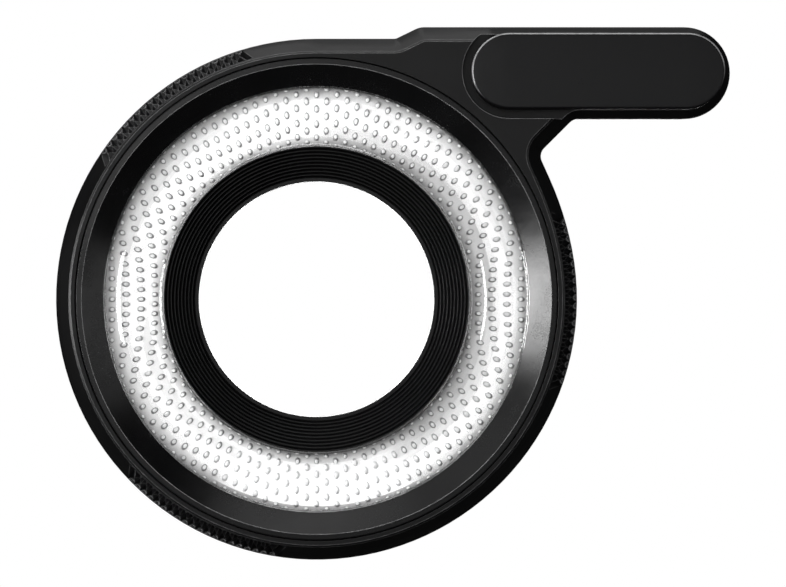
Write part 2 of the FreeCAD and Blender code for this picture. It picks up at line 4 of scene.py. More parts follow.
import bpy
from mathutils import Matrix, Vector


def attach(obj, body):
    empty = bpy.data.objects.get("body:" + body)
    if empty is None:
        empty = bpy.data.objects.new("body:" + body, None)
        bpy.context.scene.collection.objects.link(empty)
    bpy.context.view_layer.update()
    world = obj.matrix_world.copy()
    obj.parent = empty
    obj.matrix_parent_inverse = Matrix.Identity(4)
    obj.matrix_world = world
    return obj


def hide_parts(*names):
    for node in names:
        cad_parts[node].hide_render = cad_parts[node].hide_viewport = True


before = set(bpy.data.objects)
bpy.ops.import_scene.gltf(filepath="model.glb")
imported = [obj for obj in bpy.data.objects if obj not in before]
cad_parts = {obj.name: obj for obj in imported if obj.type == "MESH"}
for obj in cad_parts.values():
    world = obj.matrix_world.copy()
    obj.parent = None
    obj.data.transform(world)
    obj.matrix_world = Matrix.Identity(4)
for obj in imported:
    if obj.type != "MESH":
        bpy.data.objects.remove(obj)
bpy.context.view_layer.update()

# Looks of a clip-on light guide. Blender works in metres. Sizes on the part are millimetres,
# and a depth is counted forward from the rear rim, as in the part's source. The floor, the
# lamps and the camera are placed in metres.

MM = 0.001
REGISTER_SHOULDER = 2.2
SEED = 11
WHITE = (1, 1, 1, 1)

scene = bpy.context.scene
random.seed(SEED)


def y_at(depth):
    return (REGISTER_SHOULDER - depth) * MM


def point(x, z, depth):
    return (x * MM, y_at(depth), z * MM)


# Nodes

NOISE_LOW = 0.3
NOISE_HIGH = 0.7
NOISE_ROUGHNESS = 0.55


def add(tree, kind, **settings):
    """New node with the given properties and input values."""
    node = tree.nodes.new("ShaderNode" + kind)
    for name, value in settings.items():
        if hasattr(node, name) and name not in node.inputs:
            setattr(node, name, value)
        else:
            node.inputs[name].default_value = value
    return node


def put(tree, value, socket):
    """Link another node's socket, or set a plain value."""
    if isinstance(value, bpy.types.NodeSocket):
        tree.links.new(value, socket)
    else:
        socket.default_value = value


def new_material(name):
    material = bpy.data.materials.new(name)
    material.use_nodes = True
    tree = material.node_tree
    return material, tree, tree.nodes["Principled BSDF"]


def object_coords(tree):
    return add(tree, "TexCoord").outputs["Object"]


def split(tree, vector):
    """The three parts of a vector, by name."""
    node = add(tree, "SeparateXYZ")
    tree.links.new(vector, node.inputs[0])
    return node.outputs


def vector_math(tree, operation, first, second=None):
    node = add(tree, "VectorMath", operation=operation)
    put(tree, first, node.inputs[0])
    if second is not None:
        put(tree, second, node.inputs[1])
    return node.outputs


def calculate(tree, operation, first, second, clamp=False):
    """Math node on two sockets or numbers."""
    node = add(tree, "Math", operation=operation, use_clamp=clamp)
    put(tree, first, node.inputs[0])
    put(tree, second, node.inputs[1])
    return node.outputs["Value"]


def product(tree, *values):
    result = values[0]
    for value in values[1:]:
        result = calculate(tree, "MULTIPLY", result, value)
    return result


def largest(tree, *values):
    result = values[0]
    for value in values[1:]:
        result = calculate(tree, "MAXIMUM", result, value)
    return result


def remaining(tree, share):
    """One less a share."""
    return calculate(tree, "SUBTRACT", 1.0, share)


def over(tree, value, least, gain):
    """How far a value is over its least, times a gain and kept between 0 and 1."""
    return calculate(tree, "MULTIPLY", calculate(tree, "SUBTRACT", value, least), gain, clamp=True)


def map_range(tree, value, from_low, from_high, to_low=0.0, to_high=1.0, kind="LINEAR"):
    node = add(tree, "MapRange", interpolation_type=kind)
    ends = {"From Min": from_low, "From Max": from_high, "To Min": to_low, "To Max": to_high}
    for name, number in ends.items():
        node.inputs[name].default_value = number
    tree.links.new(value, node.inputs["Value"])
    return node.outputs["Result"]


def spread(tree, factor, low, high):
    """Value between low and high as a noise goes through its usual span."""
    return map_range(tree, factor, NOISE_LOW, NOISE_HIGH, low, high)


def smooth_step(tree, value, low, high):
    """0 at the first number, 1 at the second, which may be the smaller one."""
    return map_range(tree, value, low, high, kind="SMOOTHSTEP")


def past(tree, distance, limit, blur):
    """1 past a limit in millimetres and 0 before it, the other way round for a negative blur."""
    return smooth_step(tree, distance, (limit - blur) * MM, (limit + blur) * MM)


def band(tree, distance, inner, outer, blur):
    """1 between two distances, all in millimetres, with soft ends."""
    return product(tree, past(tree, distance, inner, blur), past(tree, distance, outer, -blur))


def noise(tree, coords, scale, detail, stretch=None):
    """Noise whose grains measure about one over the scale, in metres."""
    source = coords
    if stretch:
        mapping = add(tree, "Mapping", Scale=stretch)
        tree.links.new(coords, mapping.inputs["Vector"])
        source = mapping.outputs["Vector"]
    node = add(tree, "TexNoise", Scale=scale, Detail=detail, Roughness=NOISE_ROUGHNESS)
    tree.links.new(source, node.inputs["Vector"])
    return node.outputs["Fac"]


def ramp(tree, factor, stops):
    """Colour from stops, each a place and a colour."""
    node = add(tree, "ValToRGB")
    elements = node.color_ramp.elements
    while len(elements) < len(stops):
        elements.new(0.5)
    for element, (place, colour) in zip(elements, stops):
        element.position = place
        element.color = (*colour, 1.0)
    tree.links.new(factor, node.inputs["Fac"])
    return node.outputs["Color"]


def mix_colour(tree, factor, first, second, blend="MIX"):
    """Mix node for colours; the three values are its inputs 0, 6 and 7."""
    node = add(tree, "Mix", data_type="RGBA", blend_type=blend)
    put(tree, factor, node.inputs[0])
    put(tree, first, node.inputs[6])
    put(tree, second, node.inputs[7])
    return node.outputs[2]


def mix_shaders(tree, factor, first, second):
    node = add(tree, "MixShader")
    for socket, value in zip(node.inputs, (factor, first, second)):
        tree.links.new(value, socket)
    return node.outputs[0]


def to_surface(tree, shader_output):
    output = [node for node in tree.nodes if node.type == "OUTPUT_MATERIAL"][0]
    tree.links.new(shader_output, output.inputs[0])


def relief(tree, shader, height, distance, normal=None):
    """Fine relief on a shader, its distance in millimetres."""
    node = add(tree, "Bump", Strength=1.0, Distance=distance * MM)
    tree.links.new(height, node.inputs["Height"])
    if normal is not None:
        tree.links.new(normal, node.inputs["Normal"])
    tree.links.new(node.outputs["Normal"], shader.inputs["Normal"])


# Masks for edges, lightened partly by wear and partly by painted highlight lines, and for gloss.
# Places are millimetres, angles degrees from +X towards +Z.

BEVEL_SAMPLES = 6
TURN_LEAST = 0.006
CREST_LEAST = 0.07
CREST_GAIN = 14.0
PATCH_EDGE = 0.06
GROOVE_EDGES = (21.85, 22.3)
LIP_EDGES = (19.0, 20.5)
GRIP_INNER = 22.76
GRIP_OUTER = 24.3
GRIP_END = 0.5
GRIP_ARCS = [(126.1, 20.0), (-0.65, 19.2), (242.65, 19.7)]
GRIP_PATCHES = [(middle, half, GRIP_INNER, GRIP_OUTER, 1.0) for middle, half in GRIP_ARCS]

# Parts of the normal between which a mask goes from 0 to 1
ROUNDING_OFF_FACE = (0.95, 0.82)
ROUNDING_OFF_SIDE = (0.05, 0.3)
ROUNDING_LIT = (-0.35, 0.1)
SLOPING = (-0.15, -0.3)

CAP_SLOPE_X = 15.9
CAP_SLOPE_X_BLUR = 0.3
CAP_SLOPE_Z = 22.2
CAP_SLOPE_Z_BLUR = 0.5
GLOSS_LOST_BY_CAP = 0.8
GLOSS_LOST_IN_GRIP = 0.75
FULL_GLOSS = 0.5


def ring_coords(tree):
    """Direction away from the lens axis, and the distance to it."""
    flat = vector_math(tree, "MULTIPLY", object_coords(tree), (1.0, 0.0, 1.0))["Vector"]
    way = vector_math(tree, "NORMALIZE", flat)["Vector"]
    return way, vector_math(tree, "LENGTH", flat)["Value"]


def arc_patches(tree, way, distance, patches, ending):
    """Mask of arc-shaped patches: middle angle, half span, inner and outer radius, weight."""
    masks = []
    for middle, half, inner, outer, weight in patches:
        turn = math.radians(middle)
        middle_way = (math.cos(turn), 0.0, math.sin(turn))
        nearness = vector_math(tree, "DOT_PRODUCT", way, middle_way)["Value"]
        along = smooth_step(tree, nearness, math.cos(math.radians(half + ending)),
                            math.cos(math.radians(half - ending)))
        across = band(tree, distance, inner, outer, PATCH_EDGE)
        masks.append(product(tree, along, across, weight))
    return largest(tree, *masks)


# The edge mask sets where finish lightens edges: wear, and on the black shell, bezel and cap also a
# painted highlight line; on the grip crests also painted glints.
def edge_mask(tree, radius, gain, ring_edges):
    """Rounded normal, and a mask: 0 on flat faces, rising to 1 along edges.

    The mask is the turn between the rounded and the true normal. Ring edges leave out the front
    groove and the bezel's inner lip, and keep only the crests in the grip patches."""
    bevel = add(tree, "Bevel", samples=BEVEL_SAMPLES, Radius=radius * MM)
    rounded = bevel.outputs["Normal"]
    true_normal = add(tree, "NewGeometry").outputs["Normal"]
    turn = remaining(tree, vector_math(tree, "DOT_PRODUCT", rounded, true_normal)["Value"])
    mask = over(tree, turn, TURN_LEAST, gain)
    if ring_edges:
        way, distance = ring_coords(tree)
        grip = arc_patches(tree, way, distance, GRIP_PATCHES, GRIP_END)
        elsewhere = product(tree, mask, remaining(tree, grip))
        crests = product(tree, over(tree, turn, CREST_LEAST, CREST_GAIN), grip)
        mask = calculate(tree, "ADD", elsewhere, crests)
        for inner, outer in (GROOVE_EDGES, LIP_EDGES):
            spared = band(tree, distance, inner, outer, PATCH_EDGE)
            mask = product(tree, mask, remaining(tree, spared))
    return rounded, mask


def rounding_highlight_mask(tree, lit):
    """Painted highlight mask: 1 on the rounding of the front edge, where it faces the given
    direction or a little away.
    """
    normal = add(tree, "TexCoord").outputs["Normal"]
    front = product(tree, split(tree, normal)["Y"], -1.0)
    off_face = smooth_step(tree, front, *ROUNDING_OFF_FACE)
    off_side = smooth_step(tree, front, *ROUNDING_OFF_SIDE)
    facing = vector_math(tree, "DOT_PRODUCT", normal, lit)["Value"]
    toward = smooth_step(tree, facing, *ROUNDING_LIT)
    return product(tree, off_face, off_side, toward)


def gloss_left(tree):
    """Gloss level of the shell: less on the slope along the cap and in the grip patches."""
    place = split(tree, object_coords(tree))
    right = past(tree, place["X"], CAP_SLOPE_X, CAP_SLOPE_X_BLUR)
    high = past(tree, place["Z"], CAP_SLOPE_Z, CAP_SLOPE_Z_BLUR)
    facing = split(tree, add(tree, "TexCoord").outputs["Normal"])
    sloping = smooth_step(tree, facing["Y"], *SLOPING)
    by_cap = product(tree, right, high, sloping, GLOSS_LOST_BY_CAP)
    way, distance = ring_coords(tree)
    grip = arc_patches(tree, way, distance, GRIP_PATCHES, GRIP_END)
    lost = largest(tree, by_cap, product(tree, grip, GLOSS_LOST_IN_GRIP))
    return product(tree, remaining(tree, lost), FULL_GLOSS)


# Finishes. Noise scales are counts per metre.

CLOUD_SCALE = 180.0
CLOUD_DETAIL = 4.0
GRAIN_DETAIL = 2.0
WEAR_SCALE = 1400.0
FLOW_SCALE = 260.0
FLOW_RELIEF = 0.0008
FINE_DETAIL = 3.0
UNEVEN_LEAST = 0.6
UNEVEN_MOST = 1.4
ROUGH_VARY = 0.06
WORN_GAIN = 2.0
WORN_LIFT = 0.02
PLASTIC_IOR = 1.49


def finish(name, colour, rough, grain=0.12, bump=0.004, vary=0.12, metallic=0.0, edge=0.06,
           wear_and_highlight_amount=0.4, wear_and_highlight_colour=None, stretch=None, sheen=0.0, rubbed=0.0, keen=3.0,
           ring_edges=False, lit_rounding=None, uneven_gloss=False):
    """Moulded, turned or plated surface: grain, cloudy colour, uneven gloss and edges lightened by
    wear, on the black shell, bezel and cap partly as a painted highlight line.

    Grain, bump and edge are millimetres. Rubbed is how much smoother the worn edges are than
    the rest, keen how little of a turn counts as an edge."""
    material, tree, shader = new_material(name)
    coords = object_coords(tree)
    cloud = noise(tree, coords, CLOUD_SCALE, CLOUD_DETAIL)
    grains = noise(tree, coords, 1.0 / MM / grain, GRAIN_DETAIL, stretch)
    dark = tuple(c * (1 - vary) for c in colour)
    light = tuple(c * (1 + vary) for c in colour)
    base = ramp(tree, cloud, [(NOISE_LOW, dark), (NOISE_HIGH, light)])
    rounded, mask = edge_mask(tree, edge, keen, ring_edges)
    # Painted highlight on the rounding that faces the lamps, added to the edge mask
    if lit_rounding:
        mask = largest(tree, mask, rounding_highlight_mask(tree, lit_rounding))
    patch = noise(tree, coords, WEAR_SCALE, FINE_DETAIL)
    patchy_wear_and_highlight = spread(tree, patch, wear_and_highlight_amount * UNEVEN_LEAST, wear_and_highlight_amount * UNEVEN_MOST)
    # Edge colour: wear, and on the black shell, bezel and cap also a painted highlight line
    wear_and_highlight = calculate(tree, "MULTIPLY", mask, patchy_wear_and_highlight, clamp=True)
    wear_and_highlight_tint = wear_and_highlight_colour or tuple(min(1.0, c * WORN_GAIN + WORN_LIFT) for c in colour)
    tree.links.new(mix_colour(tree, wear_and_highlight, base, (*wear_and_highlight_tint, 1.0)), shader.inputs["Base Color"])
    cloudy = spread(tree, cloud, -ROUGH_VARY, ROUGH_VARY)
    grainy = spread(tree, grains, rough - ROUGH_VARY / 2, rough + ROUGH_VARY / 2)
    uneven = calculate(tree, "ADD", cloudy, grainy)
    rubbed_off = product(tree, mask, rubbed)
    tree.links.new(calculate(tree, "SUBTRACT", uneven, rubbed_off), shader.inputs["Roughness"])
    relief(tree, shader, grains, bump, rounded)
    shader.inputs["Metallic"].default_value = metallic
    shader.inputs["Sheen Weight"].default_value = sheen
    shader.inputs["Specular IOR Level"].default_value = FULL_GLOSS
    if uneven_gloss:
        tree.links.new(gloss_left(tree), shader.inputs["Specular IOR Level"])
    return material


def clear(name, tint, rough):
    """Clear moulded plastic that lets lamp light through; faint flow marks in its gloss."""
    material, tree, shader = new_material(name)
    flow = noise(tree, object_coords(tree), FLOW_SCALE, FINE_DETAIL)
    tree.links.new(spread(tree, flow, rough * UNEVEN_LEAST, rough * UNEVEN_MOST),
                   shader.inputs["Roughness"])
    shader.inputs["Base Color"].default_value = (*tint, 1.0)
    shader.inputs["Transmission Weight"].default_value = 1.0
    shader.inputs["IOR"].default_value = PLASTIC_IOR
    relief(tree, shader, flow, FLOW_RELIEF)
    in_shadow = add(tree, "LightPath").outputs["Is Shadow Ray"]
    through = add(tree, "BsdfTransparent").outputs[0]
    to_surface(tree, mix_shaders(tree, in_shadow, shader.outputs[0], through))
    return material


# Light grey on the edges of the shell, bezel and cap: partly wear, partly a painted highlight line
# standing in for lamp light on rounded edges
EDGE_WEAR_AND_HIGHLIGHT_GREY = (0.36, 0.36, 0.365)

shell = finish("shell_black_moulded", (0.0035, 0.0035, 0.0038), 0.38, grain=0.10, bump=0.0025,
               edge=0.09, wear_and_highlight_amount=0.8, wear_and_highlight_colour=EDGE_WEAR_AND_HIGHLIGHT_GREY, rubbed=0.16, keen=22.0,
               ring_edges=True, uneven_gloss=True)
rear = finish("rear_black_moulded", (0.007, 0.007, 0.0075), 0.42, grain=0.12, bump=0.005)
bezel = finish("bezel_black_satin", (0.004, 0.004, 0.0043), 0.24, grain=0.16, bump=0.0008,
               edge=0.08, wear_and_highlight_amount=0.8, wear_and_highlight_colour=(0.46, 0.46, 0.465), rubbed=0.08, keen=60.0,
               ring_edges=True)
cap = finish("cap_black_satin", (0.004, 0.004, 0.0045), 0.34, grain=0.09, bump=0.0016,
             edge=0.08, wear_and_highlight_amount=1.0, wear_and_highlight_colour=EDGE_WEAR_AND_HIGHLIGHT_GREY, rubbed=0.12, keen=18.0,
             lit_rounding=(-0.25, 0.0, 0.97))
baffle = finish("baffle_black_matte", (0.005, 0.005, 0.0053), 0.36, grain=0.10, bump=0.002)
milk = finish("beaded_milky", (0.95, 0.95, 0.95), 0.45, grain=0.25, bump=0.001, vary=0.02,
              wear_and_highlight_amount=0.0)
# Bead flanks: white, made darker than the land by painted shade in shade_ring
bead_rim = finish("bead_rim_painted_shade", (0.92, 0.92, 0.93), 0.40, grain=0.25, bump=0.001, wear_and_highlight_amount=0.0)
bead_top = finish("bead_top_bright", (0.98, 0.98, 0.98), 0.30, grain=0.25, bump=0.001,
                  vary=0.02, wear_and_highlight_amount=0.0)
white = finish("reflector_white", (0.86, 0.86, 0.85), 0.55, grain=0.2, bump=0.003, vary=0.03)
steel = finish("steel_turned", (0.55, 0.55, 0.56), 0.30, grain=0.06, bump=0.0015, vary=0.05,
               metallic=1.0, wear_and_highlight_colour=(0.75, 0.75, 0.76))
plated = finish("screw_plated", (0.50, 0.50, 0.51), 0.28, grain=0.05, bump=0.001, vary=0.08,
                metallic=1.0, wear_and_highlight_colour=(0.7, 0.7, 0.7))
spring = finish("spring_bright", (0.62, 0.61, 0.58), 0.22, grain=0.05, bump=0.0006, vary=0.05,
                metallic=1.0, stretch=(1.0, 1.0, 0.1))
oxide = finish("screw_black_oxide", (0.035, 0.035, 0.037), 0.34, grain=0.05, bump=0.001,
               metallic=0.7, wear_and_highlight_amount=0.7, wear_and_highlight_colour=(0.35, 0.34, 0.33))
rubber = finish("rubber_soft_black", (0.022, 0.022, 0.022), 0.68, grain=0.07, bump=0.004,
                wear_and_highlight_amount=0.2, sheen=0.1)
foam = finish("foam_open_black", (0.030, 0.030, 0.030), 0.9, grain=0.09, bump=0.03, vary=0.3,
              wear_and_highlight_amount=0.1, sheen=0.2)
felt = finish("felt_short_black", (0.018, 0.018, 0.019), 0.95, grain=0.05, bump=0.04, vary=0.35,
              wear_and_highlight_amount=0.0, sheen=0.5)
sheet = finish("adhesive_sheet", (0.3, 0.3, 0.3), 0.5, grain=0.2, bump=0.003)
dot = finish("dot_white_paint", (0.78, 0.78, 0.76), 0.45, grain=0.08, bump=0.004, vary=0.04,
             wear_and_highlight_colour=(0.6, 0.6, 0.58))


# Painted uneven light and shade in the guide ring's colour: patches as in arc_patches, and a fade
# towards both rims, given as distances from the middle of the land with the share of light that is
# left

DOME_CENTRE = 16.87
FADE_CENTRE = 16.8
FADE_REACH = 3.0
PATCH_END = 6.0

LAND_LEVEL = 0.84
LAND_FADE = [(0.0, 1.0), (1.0, 1.0), (1.35, 0.74), (1.7, 0.42), (2.1, 0.24), (2.4, 0.14)]
LAND_BRIGHT = [(270, 30, 15.7, 18.4, 1.0), (213, 36, 16.66, 17.4, 0.97),
               (215, 36, 15.69, 16.04, 0.95), (330, 34, 16.94, 17.64, 0.97),
               (28, 38, 16.8, 17.6, 0.97), (98, 24, 16.3, 17.9, 0.96),
               (150, 34, 16.8, 17.5, 0.96), (150, 34, 15.68, 16.17, 0.93)]
LAND_SHADED = [(40, 46, 14.0, 16.45, 0.28), (36, 50, 14.0, 15.7, 0.36),
               (328, 22, 14.6, 16.2, 0.22)]

# The bead flanks get a lower painted light level than the land
FLANK_LEVEL = 0.46
FLANK_FADE = [(0.0, 1.0), (2.4, 0.8)]
FLANK_BRIGHT = [(270, 30, 15.7, 18.4, 1.0), (213, 36, 16.66, 17.4, 0.75),
                (215, 36, 15.69, 16.04, 0.6), (330, 34, 16.94, 17.64, 0.85),
                (28, 38, 16.8, 17.6, 0.85), (98, 24, 16.3, 17.9, 0.55),
                (150, 34, 16.8, 17.5, 0.55)]
FLANK_SHADED = [(40, 46, 14.0, 16.45, 0.1)]


def shade_ring(material, level, bright, shaded, fade_stops):
    """Multiply a material's colour by painted uneven light and shade."""
    tree = material.node_tree
    base_socket = tree.nodes["Principled BSDF"].inputs["Base Color"]
    plain_colour = base_socket.links[0].from_socket
    way, distance = ring_coords(tree)
    offset = calculate(tree, "SUBTRACT", distance, FADE_CENTRE * MM)
    away = calculate(tree, "ABSOLUTE", offset, 0.0)
    stops = [(place / FADE_REACH, (left, left, left)) for place, left in fade_stops]
    fade = ramp(tree, calculate(tree, "DIVIDE", away, FADE_REACH * MM), stops)
    unshaded = remaining(tree, arc_patches(tree, way, distance, shaded, PATCH_END))
    light = largest(tree, product(tree, fade, unshaded, level),
                    arc_patches(tree, way, distance, bright, PATCH_END))
    tree.links.new(mix_colour(tree, 1.0, plain_colour, light, "MULTIPLY"), base_socket)


# Painted light and shade on the land and on the bead flanks; the bead tops keep their own white
shade_ring(milk, LAND_LEVEL, LAND_BRIGHT, LAND_SHADED, LAND_FADE)
shade_ring(bead_rim, FLANK_LEVEL, FLANK_BRIGHT, FLANK_SHADED, FLANK_FADE)

lens_clear = clear("lens_clear", (1.0, 1.0, 1.0), 0.012)
pipe_clear = clear("pipe_clear", (0.96, 0.97, 0.98), 0.03)
window_clear = clear("window_clear", (0.97, 0.98, 0.99), 0.02)


# Nodes kept from the frame: rounded shading between faces that meet smoothly, and a finish each

WELD_DISTANCE = 0.000001
SPLIT_ANGLE = 28.0


def smooth_with(mesh, material):
    """Own smooth shading in place of the imported normals, and one material."""
    if mesh.has_custom_normals:
        mesh.attributes.remove(mesh.attributes["custom_normal"])
    mesh.polygons.foreach_set("use_smooth", [True] * len(mesh.polygons))
    mesh.materials.clear()
    mesh.materials.append(material)


def weld(piece):
    piece.modifiers.new("weld", "WELD").merge_threshold = WELD_DISTANCE


def dress(node, material):
    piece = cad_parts[node]
    smooth_with(piece.data, material)
    weld(piece)
    edges = piece.modifiers.new("split", "EDGE_SPLIT")
    edges.split_angle = math.radians(SPLIT_ANGLE)
    edges.use_edge_sharp = False


KEPT = {"front_housing": shell, "bezel_ring": bezel, "ribbed_baffle": baffle, "arm_cap": cap,
        "cap_adhesive": sheet, "light_pipe": pipe_clear, "pipe_reflector": white,
        "ring_reflector": white, "rear_cover": rear, "entry_window": window_clear,
        "bayonet_ring": steel, "bayonet_screws": plated, "bayonet_springs": spring,
        "cover_screws": oxide, "index_dot": dot}
for node_name, node_material in KEPT.items():
    dress(node_name, node_material)


# New pieces in mesh code

def new_object(name, mesh):
    piece = bpy.data.objects.new(name, mesh)
    scene.collection.objects.link(piece)
    return piece


def new_mesh(name, verts, faces, materials):
    mesh = bpy.data.meshes.new(name)
    mesh.from_pydata(verts, [], faces)
    mesh.update()
    for material in materials:
        mesh.materials.append(material)
    return mesh


def make_piece(name, verts, faces, materials, sharp, indices=None):
    """Smooth piece whose edges are sharp from the given angle on."""
    mesh = new_mesh(name, verts, faces, materials)
    if indices:
        mesh.polygons.foreach_set("material_index", indices)
    mesh.polygons.foreach_set("use_smooth", [True] * len(mesh.polygons))
    mesh.set_sharp_from_angle(angle=math.radians(sharp))
    return new_object(name, mesh)


def belongs(piece, slot, *nodes):
    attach(piece, "root")
    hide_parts(*nodes)


def circle(count):
    """Cosine and sine at equal steps round a circle."""
    turns = [2 * math.pi * i / count for i in range(count)]
    return [(math.cos(turn), math.sin(turn)) for turn in turns]


def turned(profile, segments, x=0.0, z=0.0):
    """Points of a (radius, depth) profile, turned in equal steps round an axis at x and z."""
    return [point(x + radius * across, z + radius * up, depth)
            for across, up in circle(segments) for radius, depth in profile]


def closed_grid(rows, count):
    """Faces of rows of points, closed along each row and from the last row to the first."""
    faces = []
    for i in range(rows):
        j = (i + 1) % rows
        for k in range(count):
            n = (k + 1) % count
            faces.append((i * count + k, i * count + n, j * count + n, j * count + k))
    return faces


def ring_mesh(profile, segments):
    """Closed ring from (radius, depth) points, clockwise as seen with the radius to the right."""
    return turned(profile, segments), closed_grid(segments, len(profile))


# Half-round lens over the beads, with its two flanges

DOME_RADIUS = 2.62
DOME_BASE = 7.26
FLANGE_REAR = 6.76
LENS_BACK = 7.16
SLAB_INNER = 13.5
SLAB_OUTER = 20.7
FLANGE_REACH = 0.07
ARC_STEPS = 56
RING_STEPS = 384

lens_profile = [(SLAB_INNER, FLANGE_REAR), (SLAB_INNER, DOME_BASE)]
for step in range(ARC_STEPS + 1):
    turn = math.pi * (1 - step / ARC_STEPS)
    lens_profile.append((DOME_CENTRE + DOME_RADIUS * math.cos(turn),
                         DOME_BASE + DOME_RADIUS * math.sin(turn)))
back_inner = DOME_CENTRE - DOME_RADIUS + FLANGE_REACH
back_outer = DOME_CENTRE + DOME_RADIUS - FLANGE_REACH
lens_profile += [(SLAB_OUTER, DOME_BASE), (SLAB_OUTER, FLANGE_REAR), (back_outer, FLANGE_REAR),
                 (back_outer, LENS_BACK), (back_inner, LENS_BACK), (back_inner, FLANGE_REAR)]
lens = make_piece("lens_dome", *ring_mesh(lens_profile, RING_STEPS), [lens_clear], sharp=40.0)
belongs(lens, "clear_optic", "light_ring")


# Guide ring with staggered rows of low round beads on its land

BEAD_PITCH = 0.911
BEAD_RADIUS = 0.25
BEAD_HEIGHT = 0.2
BEAD_SIDES = 20
BEAD_STEPS = [(1.0, 0.0), (0.96, 0.35), (0.62, 0.85), (0.4, 0.95)]
BEAD_FLANK_LEVELS = 2
BEAD_LEAST = 14.5
BEAD_MOST = 19.05
LAND_DEPTH = 7.11
LAND_INNER = 14.36
LAND_OUTER = 19.38
SHOULDER_DEPTH = 6.71
SLAB_REAR = 4.9
LAND_KIND = 0
FLANK_KIND = 1
TOP_KIND = 2


def add_bead(verts, faces, kinds, x, z):
    """Low dome: rings of points with one on top, and another kind of face on its flanks, which gets
    painted shade.
    """
    base = len(verts)
    for share, height in BEAD_STEPS:
        for across, up in circle(BEAD_SIDES):
            verts.append(point(x + BEAD_RADIUS * share * across, z + BEAD_RADIUS * share * up,
                               LAND_DEPTH + BEAD_HEIGHT * height))
    verts.append(point(x, z, LAND_DEPTH + BEAD_HEIGHT))
    top = len(verts) - 1
    for level in range(len(BEAD_STEPS) - 1):
        lower = base + level * BEAD_SIDES
        upper = lower + BEAD_SIDES
        for side in range(BEAD_SIDES):
            after = (side + 1) % BEAD_SIDES
            faces.append((lower + side, upper + side, upper + after, lower + after))
            kinds.append(FLANK_KIND if level < BEAD_FLANK_LEVELS else TOP_KIND)
    last = top - BEAD_SIDES
    for side in range(BEAD_SIDES):
        faces.append((last + side, top, last + (side + 1) % BEAD_SIDES))
        kinds.append(TOP_KIND)


guide_profile = [(SLAB_INNER, SLAB_REAR), (SLAB_INNER, SHOULDER_DEPTH),
                 (LAND_INNER, SHOULDER_DEPTH), (LAND_INNER, LAND_DEPTH),
                 (LAND_OUTER, LAND_DEPTH), (LAND_OUTER, SHOULDER_DEPTH),
                 (SLAB_OUTER, SHOULDER_DEPTH), (SLAB_OUTER, SLAB_REAR)]
verts, faces = ring_mesh(guide_profile, RING_STEPS // 2)
kinds = [LAND_KIND] * len(faces)
reach = int(BEAD_MOST / BEAD_PITCH) + 2
for column in range(-reach, reach + 1):
    for row in range(-reach, reach + 1):
        x = column * BEAD_PITCH
        z = (row + 0.5 * (column % 2)) * BEAD_PITCH
        if BEAD_LEAST <= math.hypot(x, z) <= BEAD_MOST:
            add_bead(verts, faces, kinds, x, z)
beads = make_piece("bead_ring", verts, faces, [milk, bead_rim, bead_top], 50.0, kinds)
belongs(beads, "beaded_optic", "guide_ring")


# Felt ring in its recess: one rim as (inset, depth) points, mirrored, and a back pressed in unevenly

FELT_INNER = 12.4
FELT_OUTER = 15.5
FELT_FRONT = 4.0
FELT_REAR = 3.6
FELT_STEPS = 360
FELT_ROWS = 14
FELT_CORNER = 0.1
FELT_BACK = FELT_REAR + 0.015
FELT_RIM = [(0.02, FELT_FRONT), (0.0, FELT_FRONT - 0.1), (0.02, FELT_REAR + 0.12),
            (FELT_CORNER, FELT_REAR + 0.03)]
FELT_BACK_ZONE = FELT_REAR + 0.06
FELT_PRESSED = 0.05

felt_profile = [(FELT_INNER + inset, depth) for inset, depth in FELT_RIM]
back_width = FELT_OUTER - FELT_INNER - 2 * FELT_CORNER
for i in range(1, FELT_ROWS):
    felt_profile.append((FELT_INNER + FELT_CORNER + back_width * i / FELT_ROWS, FELT_BACK))
felt_profile += [(FELT_OUTER - inset, depth) for inset, depth in reversed(FELT_RIM)]
verts, faces = ring_mesh(felt_profile[::-1], FELT_STEPS)
pressed_verts = []
for x, y, z in verts:
    pressed = random.uniform(0.0, FELT_PRESSED) * MM if y > y_at(FELT_BACK_ZONE) else 0.0
    pressed_verts.append((x, y - pressed, z))
felt_ring = make_piece("felt_ring", pressed_verts, faces, [felt], sharp=180.0)
belongs(felt_ring, "felt_black", "lens_felt_ring")


# Foam pads: crowned arcs between the cover's floor and the reflector

PAD_ANGLES = [62.5, 182.5, 302.5]
PAD_SPAN = 50.0
PAD_INNER = 15.0
PAD_OUTER = 18.5
PAD_REAR = 4.35
PAD_FRONT = 4.65
PAD_ALONG = 60
PAD_ACROSS = 14
PAD_LENGTH_SHARE = 0.995
PAD_WIDTH_SHARE = 0.99
PAD_END_POWER = 16
PAD_SIDE_POWER = 8
PAD_RIM_SHARE = 0.45
PAD_CROWN_SHARE = 0.53
PAD_PRESSED = 0.006


def pad_points(middle):
    """Rear and front layer of points, the thickness full inside and less at the rim."""
    verts = []
    for side in (-1, 1):
        for i in range(PAD_ALONG + 1):
            for k in range(PAD_ACROSS + 1):
                u = 2 * i / PAD_ALONG - 1
                v = 2 * k / PAD_ACROSS - 1
                crown = (1 - u ** PAD_END_POWER) * (1 - v ** PAD_SIDE_POWER)
                angle = math.radians(middle + PAD_SPAN / 2 * u * PAD_LENGTH_SHARE)
                radius = ((PAD_INNER + PAD_OUTER) / 2
                          + (PAD_OUTER - PAD_INNER) / 2 * v * PAD_WIDTH_SHARE)
                half = (PAD_FRONT - PAD_REAR) / 2 * (PAD_RIM_SHARE + PAD_CROWN_SHARE * crown)
                half -= random.uniform(0.0, PAD_PRESSED)
                depth = (PAD_REAR + PAD_FRONT) / 2 + side * half
                verts.append(point(radius * math.cos(angle), radius * math.sin(angle), depth))
    return verts


